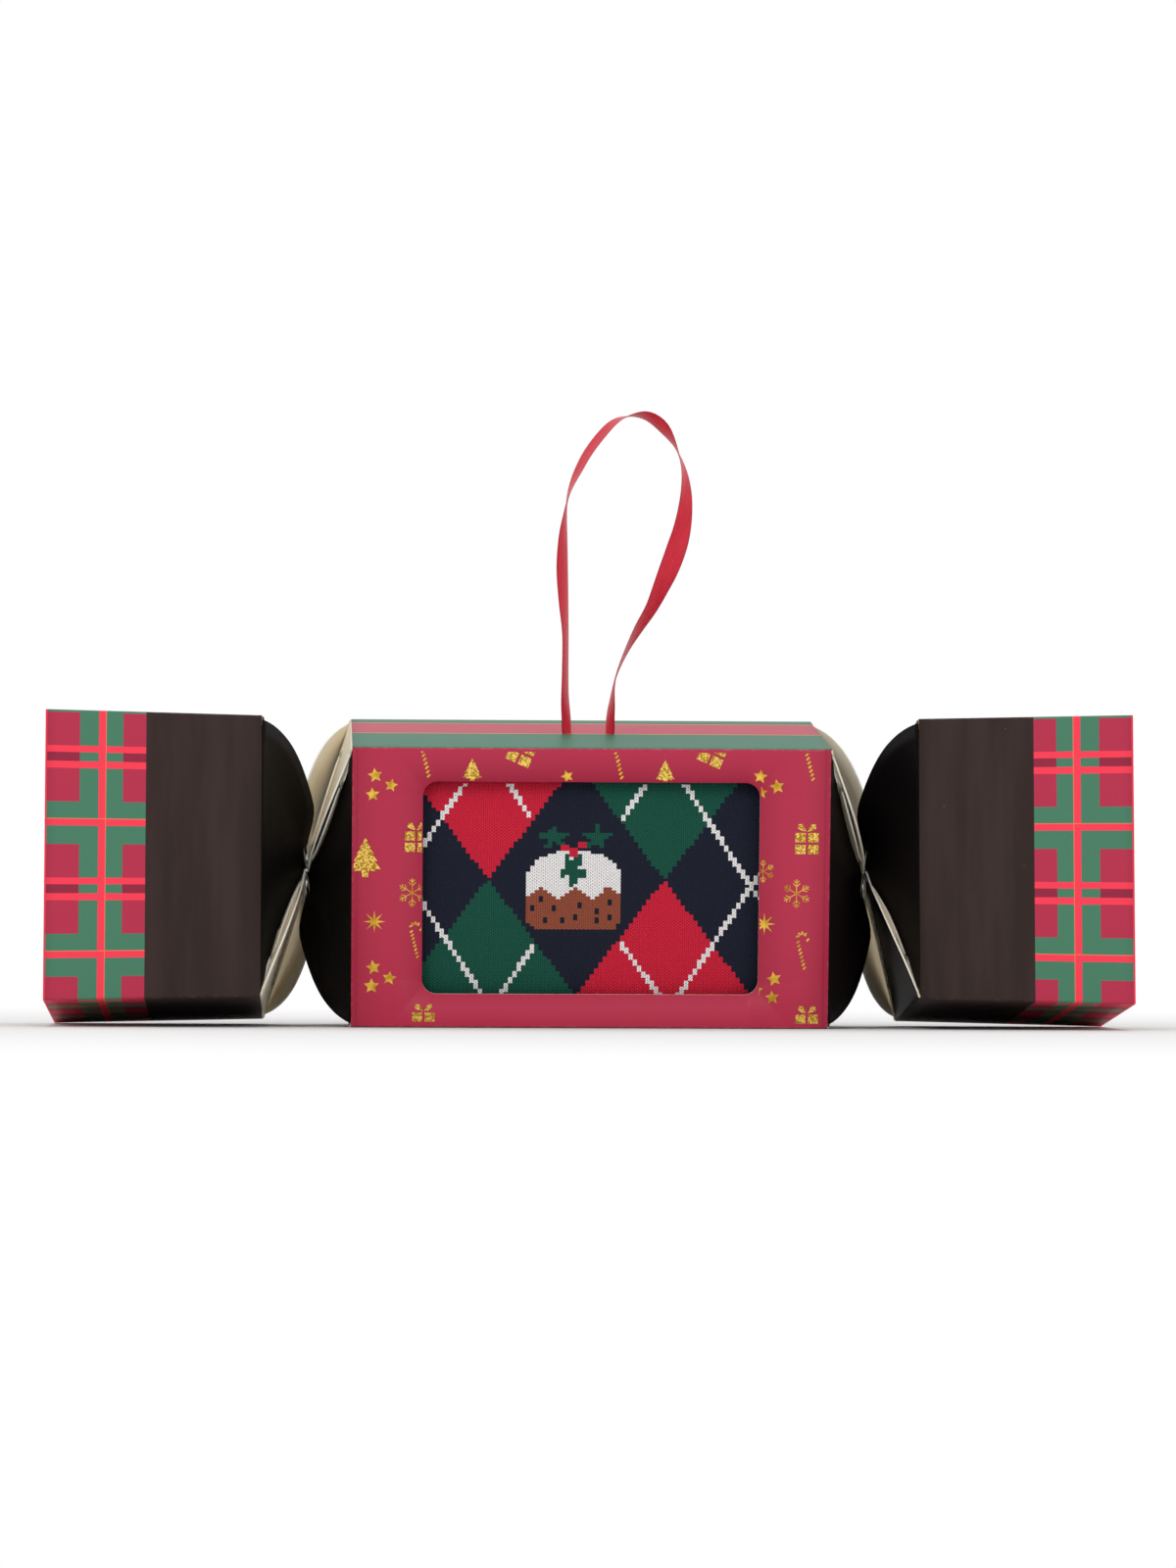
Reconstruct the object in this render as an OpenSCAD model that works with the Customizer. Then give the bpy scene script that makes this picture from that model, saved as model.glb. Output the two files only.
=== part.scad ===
// Christmas cracker gift carton: one printed card blank folded into a square body,
// two twisted necks and two open square end tubes, hung from a satin ribbon loop,
// with a folded pair of socks that shows through the window.
// X runs along the cracker, -Y is the window side, Z is up from the table it lies on.

/* [Body tube] */
// Outside width of the square body section
body_w = 78; // [62:1:100]
// Length of the body between its two end folds
body_l = 132; // [100:1:190]
// Thickness of the card
card_t = 0.5; // [0.35:0.05:0.9]
// Width of the glue flap inside the body's back panel
body_flap_w = 14; // [8:1:24]

/* [Window] */
// Card left between the window and each end of the front panel
window_side_margin = 19.5; // [12:0.5:30]
// Card left above the window
window_top_margin = 9.5; // [5:0.5:16]
// Card left below the window
window_bottom_margin = 9.5; // [5:0.5:16]
// Radius of the window's corners
window_corner_r = 4; // [2:0.5:10]

/* [Necks] */
// Distance between the body and an end tube when the neck is twisted shut
neck_gap = 25; // [18:0.5:36]
// How far the twist springs back from a quarter turn, in degrees
neck_spring = 12.8; // [7:0.1:18]
// Width of each strap at its waist, between the two round cut-outs
waist_w = 12.5; // [8:0.5:18]
// Clearance along a crease and between the two petals of a strap
crease_gap = 0.25; // [0.15:0.05:0.3]
// Radius of a petal's round rim, as a share of the body's width
rim_round_share = 0.64; // [0.58:0.01:1]
// How far a petal's free rim bulges into the neck
petal_bulge = 3.5; // [0:0.5:5]
// How far the diagonal crease bows out of its straight line
crease_bow = 1.2; // [0:0.1:2]

/* [End tubes] */
// Length of an end tube from its fold to its mouth
end_l = 59.5; // [40:0.5:90]
// How far each side of the mouth stands out past the fold
mouth_flare = 1.25; // [0:0.05:2.5]
// Width of the glue flap inside an end tube's back panel
end_flap_w = 12; // [8:1:20]

/* [Ribbon] */
// Width of the satin ribbon
ribbon_w = 6; // [4:0.5:9]
// Thickness of the ribbon
ribbon_t = 0.6; // [0.3:0.05:0.8]
// Radius of the two holes that the ribbon passes through
ribbon_hole_r = 2; // [2:0.1:3]
// Thickness of the ribbon where it is gathered in a hole
ribbon_gathered_t = 1.2; // [0.8:0.1:1.4]
// Radius of the ring that the knot's turn makes
knot_ring_r = 2.4; // [2:0.1:3]
// Radius of the gathered ribbon in the knot
knot_turn_r = 1.3; // [1:0.1:1.6]
// Length of each ribbon tail past the knot
knot_tail_l = 11; // [6:0.5:16]

/* [Socks] */
// Thickness of one folded sock
sock_t = 30; // [20:0.5:34]
// Air between the window panel and the front sock
sock_gap = 2.2; // [2:0.1:4]
// Space between the folded socks and the body's two ends
sock_end_gap = 5; // [2:0.5:10]
// How far the front sock stops short of the top panel
sock_top_gap = 4.5; // [3:0.5:8]
// Extra headroom over the rear sock, which lies under the knot
rear_sock_drop = 9; // [8:0.5:14]
// Radius of a folded sock's soft edges
sock_round = 8; // [4:0.5:12]

/* [Hidden] */

// Printed colours of the outside faces
crimson = "#b22846";
pine = "#2f6b54";
umber = "#3b302e";
gold_card = "#c9953c";
black_card = "#1c1a1b";
raw_card = "#efe9dc";
satin_red = "#c01834";
navy = "#1d2340";

// Widths of the tubes and the neck
half_w = body_w / 2;
mouth_w = body_w + 2 * mouth_flare;
twist = 90 - neck_spring;
strap_l = sqrt(neck_gap * neck_gap + body_w * body_w * sin(twist));

// The body leans forward and the ends lean back, by the angles at which the
// body's front fold and the mouths' back folds touch the table together.
end_lean = atan2(
    body_w * cos(45 - neck_spring) - mouth_w * cos(45),
    mouth_w * sin(45) + body_w * sin(45 - neck_spring)
);
body_lean = neck_spring - end_lean;
axis_h = half_w * (cos(body_lean) + sin(body_lean));

// One overrun for every cut, and a gap that keeps one leaf of card off the next
cut = 1;
leaf_gap = 0.1;

// The four sides of a tube, a quarter turn after each other about X
sides = ["top", "front", "bottom", "back"];
corner_r = half_w * sqrt(2);

// Planes between which a neck's petals lie
fold_clear = card_t / 2 + crease_gap;
neck_start_x = body_l / 2 + fold_clear;
neck_end_x = body_l / 2 + neck_gap - fold_clear;
end_start_x = body_l / 2 + neck_gap;

// A strap's cut-outs leave two round petals that meet at the waist. A rim runs
// round from the fold's corner to the waist's corner.
waist_gap = 3 * crease_gap;
waist_h = strap_l / 2 - waist_gap;
rim_r = rim_round_share * body_w;
rim_inset = 8 * crease_gap;
rim_start = [body_w - rim_inset, crease_gap];
rim_end = [half_w + waist_w / 2, waist_h];
rim_chord = rim_end - rim_start;
rim_centre = (rim_start + rim_end) / 2
    + [-rim_chord[1], rim_chord[0]] * sqrt(rim_r * rim_r / (rim_chord * rim_chord) - 1 / 4);
rim_from = atan2(rim_start[1] - rim_centre[1], rim_start[0] - rim_centre[0]);
rim_to = atan2(rim_end[1] - rim_centre[1], rim_end[0] - rim_centre[0]);
fin_rim_share = 0.92;
waist_reach_share = 0.15;
corner_relief_r = 4 * crease_gap;
relief_angle = asin(crease_gap / corner_relief_r);
crease_angle = atan2(strap_l, body_w);
bow_reach_share = 0.3;
petal_rows = 5;
main_steps = 10;
fin_steps = 7;

// Ribbon route, chosen by hand: along X, along Y, height over the top panel's
// middle, angle of the ribbon's face about its route, share of its full width.
ribbon_route = [
    [-1.5, 0.8, -5.5, 30, 0.5], [-4.5, 0.4, -3, 30, 0.5], [-5.5, 0, -0.2, 30, 0.5],
    [-5.7, -0.3, 4, 50, 0.7], [-6, -0.5, 10, 66, 1], [-6, -0.8, 18, 70, 1],
    [-6, -1.1, 28, 70, 1], [-6.6, -1.4, 37.5, 60, 1], [-7, -1.6, 46.5, 55, 1],
    [-6.8, -1.6, 55, 63, 1], [-6.3, -1.5, 61, 77, 1], [-5.8, -1.4, 65.5, 90, 1],
    [-4.6, -1.2, 69.5, 101, 1], [-2.6, -1, 74, 111, 1], [0.4, -0.7, 79.5, 115, 1],
    [4.6, -0.3, 85, 115, 1], [8, 0, 88.2, 108, 1], [12, 0.4, 89.8, 90, 1],
    [17, 0.8, 89.6, 68, 1], [21.4, 1.2, 86.4, 63, 1], [25.2, 1.4, 80.5, 90, 1],
    [27.2, 1.5, 74.5, 108, 1], [27.8, 1.5, 68.5, 124, 1], [27.5, 1.4, 63, 137, 1],
    [26.6, 1.2, 57.5, 150, 1], [25.2, 1, 52.5, 163, 1], [23.2, 0.8, 47, 160, 1],
    [20.8, 0.5, 41.5, 143, 1], [18, 0.3, 35.5, 127, 1], [14.6, 0.1, 30, 117, 1],
    [11.6, 0, 24.5, 105, 1], [9.2, 0, 19, 97, 1], [7.6, -0.1, 13.5, 88, 1],
    [6.9, -0.2, 8, 74, 1], [6.6, -0.2, 4, 62, 0.8], [6.5, 0, -0.2, 40, 0.5],
    [5.5, 0.4, -3, 35, 0.5], [2.5, 0.8, -5.5, 30, 0.5]
];
ribbon_sides = 8;
ribbon_last = len(ribbon_route) - 1;
hole_xs = [ribbon_route[2][0], ribbon_route[ribbon_last - 2][0]];
knot_x = (hole_xs[0] + hole_xs[1]) / 2;
knot_drop = knot_ring_r + knot_turn_r + leaf_gap;

// Folded socks: three layers each, laid on the bottom panel
sock_l = body_l - 2 * sock_end_gap;
sock_h = body_w - 2 * card_t - leaf_gap - sock_top_gap;
rear_sock_h = sock_h - rear_sock_drop;
sock_floor = -half_w + card_t + leaf_gap;
sock_layers = 3;
sock_fold_share = 0.04;
sock_sides = 36;
sock_rings = 8;

// Point k of the square ring that turns by the given angle, at the given X
function ring_point(x, k, turn) = [
    x, corner_r * cos(45 + 90 * k + turn), corner_r * sin(45 + 90 * k + turn)
];
function body_corner(k) = ring_point(-neck_start_x, k, body_lean);
function end_corner(k) = ring_point(-neck_end_x, k, body_lean + twist);
function quarter_turns(side) = search([side], sides)[0];
function unit(v) = v / norm(v);
function mix(p, q, share) = p + (q - p) * share;

// Sideways stand-off of a strap's face, by its shares across and along: the rim
// bulges into the neck but not at the waist, and the crease bows away from it.
function standoff(across, along) =
    petal_bulge * sqrt(max(across, 0)) * sin(180 * along) * min(1, 2 - 2 * along)
    * min(1, abs(along - 0.5) / waist_reach_share)
    - crease_bow * sin(360 * along)
    * (1 - (along < 0.5 ? 1 : 2) * min(1, across / bow_reach_share));

// Flat outline of a petal: corner, round rim, waist, and back to the corner
function rim_point(share) =
    let (angle = rim_to + (rim_from - rim_to) * share)
    rim_centre + rim_r * [cos(angle), sin(angle)];
function main_rim(j) =
    j < main_steps ? rim_point(1 - j / (main_steps - 1)) : [half_w, waist_h];
function fin_rim(j) =
    let (point = rim_point(fin_rim_share * (j - 1) / (fin_steps - 1)))
    [body_w - point[0], point[1]];
function relief_point(j, steps, from, to) =
    let (angle = from + (to - from) * j / steps)
    [corner_relief_r * cos(angle), corner_relief_r * sin(angle)];

// Both parts of a petal as one list of flat rays, each from the corner to the rim
flat_rays = concat(
    [for (j = [0:main_steps]) [relief_point(j, main_steps, relief_angle, crease_angle), main_rim(j)]],
    [for (j = [1:fin_steps]) [relief_point(j, fin_steps, crease_angle, 90 - relief_angle), fin_rim(j)]]
);

// A flat point of the strap on its folded facets: p0 and p1 are the corners of
// the petal's own fold, q0 and q1 those of the far one, p0 to q0 the crease.
function folded(flat, p0, p1, q0, q1) =
    let (u = flat[0] / body_w, v = flat[1] / strap_l, across = u - v)
    let (out = [sign(q0[0] - p0[0]), 0, 0])
    across >= 0
    ? (1 - u) * p0 + across * p1 + v * q0 + out * standoff(across, v)
    : (1 - v) * p0 + u * q0 - across * q1 - out * standoff(-across, 1 - v);

function petal_side(j, p0, p1, q0, q1) =
    let (main_n = unit(cross(p1 - p0, q0 - p0)), fin_n = unit(cross(q0 - p0, q1 - p0)))
    j < main_steps ? main_n : j > main_steps ? fin_n : (main_n + fin_n) / (1 + main_n * fin_n);

// A folded leaf of card over the flat rays, half a card either side of its face
module petal(p0, p1, q0, q1) {
    rays = len(flat_rays);
    rows = petal_rows + 1;
    faces_points = [for (side = [1, -1]) for (j = [0:rays - 1]) for (i = [0:petal_rows])
        folded(mix(flat_rays[j][0], flat_rays[j][1], i / petal_rows), p0, p1, q0, q1)
        + side * card_t / 2 * petal_side(j, p0, p1, q0, q1)];
    polyhedron(faces_points, leaf_faces(rows, rays));
}

// Faces of two grids of rows by rays points, closed round the four edges
function quad(a, b, c, d) = [[a, b, c], [a, c, d]];
function leaf_faces(rows, rays) =
    let (under = rows * rays, last_row = rows - 1, last_ray = rays - 1)
    [for (j = [0:last_ray - 1]) for (i = [0:last_row - 1]) let (a = j * rows + i)
        each concat(
            quad(a, a + rows, a + rows + 1, a + 1),
            quad(under + a, under + a + 1, under + a + rows + 1, under + a + rows)
        )
    , for (j = [0:last_ray - 1]) let (a = j * rows, b = a + last_row)
        each concat(
            quad(a, under + a, under + a + rows, a + rows),
            quad(b, b + rows, under + b + rows, under + b)
        )
    , for (i = [0:last_row - 1]) let (b = last_ray * rows + i)
        each concat(
            quad(i, i + 1, under + i + 1, under + i),
            quad(b, under + b, under + b + 1, b + 1)
        )
    ];

// Faces of rings of points stacked one over the other, closed at both ends
function stack_faces(rings, sides) = concat(
    [for (i = [0:rings - 2]) for (j = [0:sides - 1])
        let (a = i * sides + j, b = i * sides + (j + 1) % sides)
        each quad(a, a + sides, b + sides, b)],
    [[for (j = [0:sides - 1]) j]],
    [[for (j = [sides - 1:-1:0]) (rings - 1) * sides + j]]
);

// Frames of the tubes: both turn about the one axis through the necks
module in_body() {
    translate([0, 0, axis_h]) rotate([body_lean, 0, 0]) children();
}
module in_end() {
    translate([0, 0, axis_h]) rotate([-end_lean, 0, 0]) children();
}
module in_left() {
    translate([0, 0, axis_h]) children();
}
module in_right() {
    mirror([1, 0, 0]) in_left() children();
}

// Flat wall of a square tube with mitred long edges, laid on its top side
module mitred_wall(length, width) {
    translate([-length / 2, 0, 0]) rotate([90, 0, 90]) linear_extrude(length) polygon([
        [-width / 2, width / 2], [width / 2, width / 2],
        [width / 2 - card_t, width / 2 - card_t], [-width / 2 + card_t, width / 2 - card_t]
    ]);
}
module body_wall(side) {
    in_body() rotate([90 * quarter_turns(side), 0, 0]) mitred_wall(body_l, body_w);
}

// Wall of a left end tube, which widens towards its mouth
module end_wall(side) {
    mouth_x = end_start_x + end_l;
    points = [for (x = [end_start_x, mouth_x]) for (inset = [0, card_t]) for (edge = [-1, 1])
        let (w = (x == mouth_x ? mouth_w : body_w) / 2 - inset) [-x, edge * w, w]];
    in_end() rotate([90 * quarter_turns(side), 0, 0]) polyhedron(points, [
        [0, 4, 5, 1], [2, 3, 7, 6], [0, 1, 3, 2], [4, 6, 7, 5], [0, 2, 6, 4], [1, 5, 7, 3]
    ]);
}

// Glue flaps: a leaf of card inside the back wall, up from the bottom fold
module body_flap_leaf() {
    seat = half_w - card_t - leaf_gap;
    in_body() translate([-body_l / 2 + card_t, seat - card_t, -seat])
        cube([body_l - 2 * card_t, card_t, body_flap_w]);
}
module end_flap_leaf() {
    near = body_w / 2 - card_t - leaf_gap;
    far = mouth_w / 2 - card_t - leaf_gap;
    near_x = end_start_x + card_t;
    far_x = end_start_x + end_l - card_t;
    points = [for (s = [[near_x, near], [far_x, far]]) for (depth = [0, card_t]) for (h = [0, end_flap_w])
        [-s[0], s[1] - depth, h - s[1]]];
    in_end() polyhedron(points, [
        [0, 4, 5, 1], [2, 3, 7, 6], [0, 1, 3, 2], [4, 6, 7, 5], [0, 2, 6, 4], [1, 5, 7, 3]
    ]);
}

// Petals of the left neck: a strap leaves one side of the body and reaches the
// end tube a side further round, so the end's petal is on the strap before.
module body_petal(side) {
    k = quarter_turns(side);
    petal(body_corner(k), body_corner(k + 1), end_corner(k + 1), end_corner(k));
}
module end_petal(side) {
    k = quarter_turns(side) - 1;
    petal(end_corner(k + 1), end_corner(k), body_corner(k), body_corner(k + 1));
}

// Window: a plate with round corners, cut through the front panel
module window_cut() {
    window_l = body_l - 2 * window_side_margin;
    window_h = body_w - window_top_margin - window_bottom_margin;
    inner_l = window_l - 2 * window_corner_r;
    inner_h = window_h - 2 * window_corner_r;
    translate([0, -half_w + card_t + cut, (window_bottom_margin - window_top_margin) / 2])
        rotate([90, 0, 0]) linear_extrude(card_t + 2 * cut) union() {
            square([window_l, inner_h], center = true);
            square([inner_l, window_h], center = true);
            for (x = [-1, 1], y = [-1, 1])
                translate([x * inner_l / 2, y * inner_h / 2]) circle(window_corner_r, $fn = 48);
        }
}
module body_front_panel() {
    color(crimson) difference() {
        body_wall("front");
        in_body() window_cut();
    }
}
module body_top_panel() {
    color(pine) difference() {
        body_wall("top");
        in_body() for (x = hole_xs) translate([x, 0, half_w - card_t - cut])
            cylinder(h = card_t + 2 * cut, r = ribbon_hole_r, $fn = 48);
    }
}
module body_back_panel() {
    color(crimson) body_wall("back");
}
module body_bottom_panel() {
    color(pine) body_wall("bottom");
}
module body_glue_flap() {
    color(raw_card) body_flap_leaf();
}

// Ribbon: a flat band swept along its route, twisting as it goes
function route_value(i) = ribbon_route[max(0, min(ribbon_last, i))];
function route_between(i, share) =
    let (a = route_value(i - 1), b = route_value(i), c = route_value(i + 1), d = route_value(i + 2))
    b + (c - a) * share / 2 + (2 * a - 5 * b + 4 * c - d) * pow(share, 2) / 2
    + (3 * b - a - 3 * c + d) * pow(share, 3) / 2;
ribbon_path = concat(
    [for (i = [0:ribbon_last - 1]) for (share = [0, 0.5]) route_between(i, share)],
    [route_value(ribbon_last)]
);
function xyz(v) = [v[0], v[1], v[2]];
function ribbon_ring(i) =
    let (
        here = ribbon_path[i],
        ahead = ribbon_path[min(i + 1, len(ribbon_path) - 1)],
        behind = ribbon_path[max(i - 1, 0)],
        run = unit(xyz(ahead) - xyz(behind)),
        side = unit(cross([0, 1, 0], run)),
        across = side * cos(here[3]) + cross(run, side) * sin(here[3]),
        through = cross(run, across),
        gathered = 2 - 2 * here[4],
        half_band = ribbon_w * here[4] / 2,
        half_t = mix(ribbon_t, ribbon_gathered_t, gathered) / 2
    )
    [for (j = [0:ribbon_sides - 1]) let (angle = 360 * j / ribbon_sides)
        xyz(here) + across * half_band * cos(angle) + through * half_t * sin(angle)];
module hang_ribbon() {
    color(satin_red) translate([0, -half_w * sin(body_lean), axis_h + half_w * cos(body_lean)])
        polyhedron(
            [for (i = [0:len(ribbon_path) - 1]) each ribbon_ring(i)],
            stack_faces(len(ribbon_path), ribbon_sides)
        );
}

// Knot: one turn of the gathered ribbon under the top panel, and its two tails
module ribbon_knot() {
    color(satin_red) in_body() translate([knot_x, 0, half_w - card_t - knot_drop]) {
        rotate([90, 0, 0]) rotate_extrude($fn = 32)
            translate([knot_ring_r, 0]) circle(knot_turn_r, $fn = 20);
        cube([2 * knot_ring_r, 2 * knot_turn_r, 2 * knot_turn_r], center = true);
        for (tail = [-1, 1]) rotate([0, 15 * tail, 0])
            translate([tail * (knot_ring_r + knot_tail_l / 2), 0, -knot_ring_r / 2])
                cube([knot_tail_l, ribbon_w, ribbon_t], center = true);
    }
}

// A sock folded in layers: flat faces, soft edges, and grooves between the
// layers at both ends.
function sock_inset(share) = sock_round * (1 - pow(1 - pow(abs(2 * share - 1), 4), 0.25));
function soft(value) = sign(value) * sqrt(abs(value));
function sock_ring(share, h) = [
    for (j = [0:sock_sides - 1])
        let (
            angle = 360 * j / sock_sides,
            inset = sock_inset(share),
            y = (sock_t / 2 - inset) * soft(sin(angle)),
            groove = 1 - abs(sin(180 * sock_layers * (y / sock_t + 0.5))),
            x = (sock_l / 2 - inset) * soft(cos(angle)) * (1 - sock_fold_share * groove)
        )
        [x, y, h * share]
];
module folded_sock(y, h) {
    in_body() translate([0, y, sock_floor]) polyhedron(
        [for (i = [0:sock_rings]) each sock_ring(i / sock_rings, h)],
        stack_faces(sock_rings + 1, sock_sides)
    );
}
front_sock_y = -half_w + card_t + sock_gap + sock_t / 2;
module sock_front() {
    color(navy) folded_sock(front_sock_y, sock_h);
}
module sock_rear() {
    color(navy) folded_sock(front_sock_y + sock_t + leaf_gap, rear_sock_h);
}

// Left neck
module left_body_petal_top() {
    color(black_card) in_left() body_petal("top");
}
module left_body_petal_front() {
    color(black_card) in_left() body_petal("front");
}
module left_body_petal_bottom() {
    color(black_card) in_left() body_petal("bottom");
}
module left_body_petal_back() {
    color(black_card) in_left() body_petal("back");
}
module left_end_petal_front() {
    color(gold_card) in_left() end_petal("front");
}
module left_end_petal_bottom() {
    color(gold_card) in_left() end_petal("bottom");
}
module left_end_petal_back() {
    color(gold_card) in_left() end_petal("back");
}
module left_end_petal_top() {
    color(gold_card) in_left() end_petal("top");
}

// Left end tube
module left_end_top_panel() {
    color(umber) end_wall("top");
}
module left_end_front_panel() {
    color(umber) end_wall("front");
}
module left_end_bottom_panel() {
    color(umber) end_wall("bottom");
}
module left_end_back_panel() {
    color(umber) end_wall("back");
}
module left_end_glue_flap() {
    color(raw_card) end_flap_leaf();
}

// Right neck, the left one's mirror image
module right_body_petal_top() {
    color(black_card) in_right() body_petal("top");
}
module right_body_petal_front() {
    color(black_card) in_right() body_petal("front");
}
module right_body_petal_bottom() {
    color(black_card) in_right() body_petal("bottom");
}
module right_body_petal_back() {
    color(black_card) in_right() body_petal("back");
}
module right_end_petal_front() {
    color(gold_card) in_right() end_petal("front");
}
module right_end_petal_bottom() {
    color(gold_card) in_right() end_petal("bottom");
}
module right_end_petal_back() {
    color(gold_card) in_right() end_petal("back");
}
module right_end_petal_top() {
    color(gold_card) in_right() end_petal("top");
}

// Right end tube
module right_end_top_panel() {
    color(umber) mirror([1, 0, 0]) end_wall("top");
}
module right_end_front_panel() {
    color(umber) mirror([1, 0, 0]) end_wall("front");
}
module right_end_bottom_panel() {
    color(umber) mirror([1, 0, 0]) end_wall("bottom");
}
module right_end_back_panel() {
    color(umber) mirror([1, 0, 0]) end_wall("back");
}
module right_end_glue_flap() {
    color(raw_card) mirror([1, 0, 0]) end_flap_leaf();
}

body_front_panel();
body_top_panel();
body_back_panel();
body_bottom_panel();
body_glue_flap();
hang_ribbon();
ribbon_knot();
sock_front();
sock_rear();
left_body_petal_top();
left_body_petal_front();
left_body_petal_bottom();
left_body_petal_back();
left_end_petal_front();
left_end_petal_bottom();
left_end_petal_back();
left_end_petal_top();
left_end_top_panel();
left_end_front_panel();
left_end_bottom_panel();
left_end_back_panel();
left_end_glue_flap();
right_body_petal_top();
right_body_petal_front();
right_body_petal_bottom();
right_body_petal_back();
right_end_petal_front();
right_end_petal_bottom();
right_end_petal_back();
right_end_petal_top();
right_end_top_panel();
right_end_front_panel();
right_end_bottom_panel();
right_end_back_panel();
right_end_glue_flap();
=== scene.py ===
from math import atan2, cos, hypot, pi, radians, sin, sqrt

import bmesh
import bpy
from mathutils import Matrix, Vector


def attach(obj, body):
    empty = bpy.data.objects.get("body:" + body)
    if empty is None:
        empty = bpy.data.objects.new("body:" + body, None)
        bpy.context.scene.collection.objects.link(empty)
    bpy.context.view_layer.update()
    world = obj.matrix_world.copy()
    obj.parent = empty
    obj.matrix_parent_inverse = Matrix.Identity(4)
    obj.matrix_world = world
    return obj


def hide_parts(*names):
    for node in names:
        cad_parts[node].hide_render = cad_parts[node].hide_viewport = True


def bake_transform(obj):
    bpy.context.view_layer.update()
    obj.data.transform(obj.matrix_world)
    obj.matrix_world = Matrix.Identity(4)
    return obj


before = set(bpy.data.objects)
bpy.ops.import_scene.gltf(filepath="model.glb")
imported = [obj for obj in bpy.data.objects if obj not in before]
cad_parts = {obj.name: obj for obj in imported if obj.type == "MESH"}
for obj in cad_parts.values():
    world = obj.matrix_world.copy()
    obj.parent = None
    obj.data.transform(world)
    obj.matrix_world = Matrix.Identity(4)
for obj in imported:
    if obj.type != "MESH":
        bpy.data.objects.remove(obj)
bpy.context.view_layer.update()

# The studio: a camera level with the table, a white table and backdrop that keep
# the cracker's soft shadow, and three soft boxes at a plain level.


class Tone:
    """One socket of a finish. Arithmetic on it adds Math nodes, and its other
    methods add one node each."""

    def __init__(self, tree, socket=None):
        self.tree, self.socket = tree, socket

    def node(self, kind, links=None, out=0, **settings):
        made = self.tree.nodes.new("ShaderNode" + kind)
        for key, value in settings.items():
            setattr(made, key, value)
        for key, value in (links or {}).items():
            if isinstance(value, Tone):
                self.tree.links.new(value.socket, made.inputs[key])
            else:
                made.inputs[key].default_value = value
        return Tone(self.tree, made.outputs[out])

    def other(self, out):
        return Tone(self.tree, self.socket.node.outputs[out])

    def maths(self, operation, *values):
        return self.node("Math", dict(enumerate((self,) + values)), operation=operation)

    def into(self, shader, key):
        self.tree.links.new(self.socket, shader.inputs[key])

    def ramp(self, low, high, start=0.0, end=1.0):
        """start where self is low or less, end where it is high or more, and soft between."""
        links = {"Value": self, "From Min": low, "From Max": high, "To Min": start, "To Max": end}
        return self.node("MapRange", links, interpolation_type="SMOOTHSTEP")

    def band(self, low, high, soft=0.00006):
        """1 between low and high, 0 outside, with soft edges."""
        return self.ramp(low - soft, low + soft) * self.ramp(high - soft, high + soft, 1, 0)

    def over(self, under, colour):
        return self.node("Mix", {0: self, 6: under, 7: colour}, out=2, data_type="RGBA")

    def __add__(self, value):
        return self.maths("ADD", value)

    def __sub__(self, value):
        return self.maths("SUBTRACT", value)

    def __rsub__(self, value):
        return self.node("Math", {0: value, 1: self}, operation="SUBTRACT")

    def __mul__(self, value):
        return self.maths("MULTIPLY", value)

    def __truediv__(self, value):
        return self.maths("DIVIDE", value)

    def __mod__(self, value):
        return self.maths("FLOORED_MODULO", value)

    def __or__(self, value):
        return self.maths("MAXIMUM", value)

    def __abs__(self):
        return self.maths("ABSOLUTE")

    __radd__, __rmul__ = __add__, __mul__


def paint(code):
    """A colour as written on a screen, made linear."""
    parts = [int(code[i:i + 2], 16) / 255 for i in (1, 3, 5)]
    return tuple(p / 12.92 if p <= 0.04045 else ((p + 0.055) / 1.055) ** 2.4 for p in parts) + (1,)


def straight_rays(tree):
    """1 for what the camera sees itself, or by way of gloss or glass."""
    path = Tone(tree).node("LightPath")
    return path | path.other("Is Glossy Ray") | path.other("Is Transmission Ray")


def finish(name, **fixed):
    """A new finish, its shader with the fixed sockets set, and its bare Tone."""
    made = bpy.data.materials.new(name)
    made.use_nodes = True
    shader = made.node_tree.nodes["Principled BSDF"]
    for key, value in fixed.items():
        shader.inputs[key.replace("_", " ")].default_value = value
    return made, shader, Tone(made.node_tree)


studio = bpy.context.scene
studio.view_settings.view_transform = "Standard"
camera = bpy.data.objects.new("photo_camera", bpy.data.cameras.new("photo_camera"))
studio.collection.objects.link(camera)
studio.camera = camera
CAMERA_AIM = Vector((0.0415, 0.9989, 0.0237))
CAMERA_ROLL = radians(0.24)
camera.location = (-0.0750, -1.8217, 0.0252)
camera.data.lens = 148.4
camera.data.sensor_width = 36
aim = CAMERA_AIM.to_track_quat("-Z", "Y").to_matrix()
camera.rotation_euler = (aim @ Matrix.Rotation(CAMERA_ROLL, 3, "Z")).to_euler()

studio.world = bpy.data.worlds.new("white_studio")
studio.world.use_nodes = True
sky = studio.world.node_tree.nodes["Background"]
sky.inputs["Color"].default_value = (1, 1, 1, 1)
(0.72 + 0.28 * straight_rays(studio.world.node_tree)).into(sky, "Strength")


def softbox(name, place, size, watts):
    lamp = bpy.data.objects.new(name, bpy.data.lights.new(name, "AREA"))
    studio.collection.objects.link(lamp)
    lamp.data.size, lamp.data.energy = size, watts
    lamp.location = place
    toward = Vector((0, 0, 0.06)) - lamp.location
    lamp.rotation_euler = toward.to_track_quat("-Z", "Y").to_euler()


softbox("key_box", (-0.9, -1.7, 1.3), 1.0, 9)
softbox("fill_box", (1.4, -1.5, 0.6), 1.0, 5)
softbox("top_box", (0.1, 0.4, 1.6), 1.2, 7)

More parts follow.
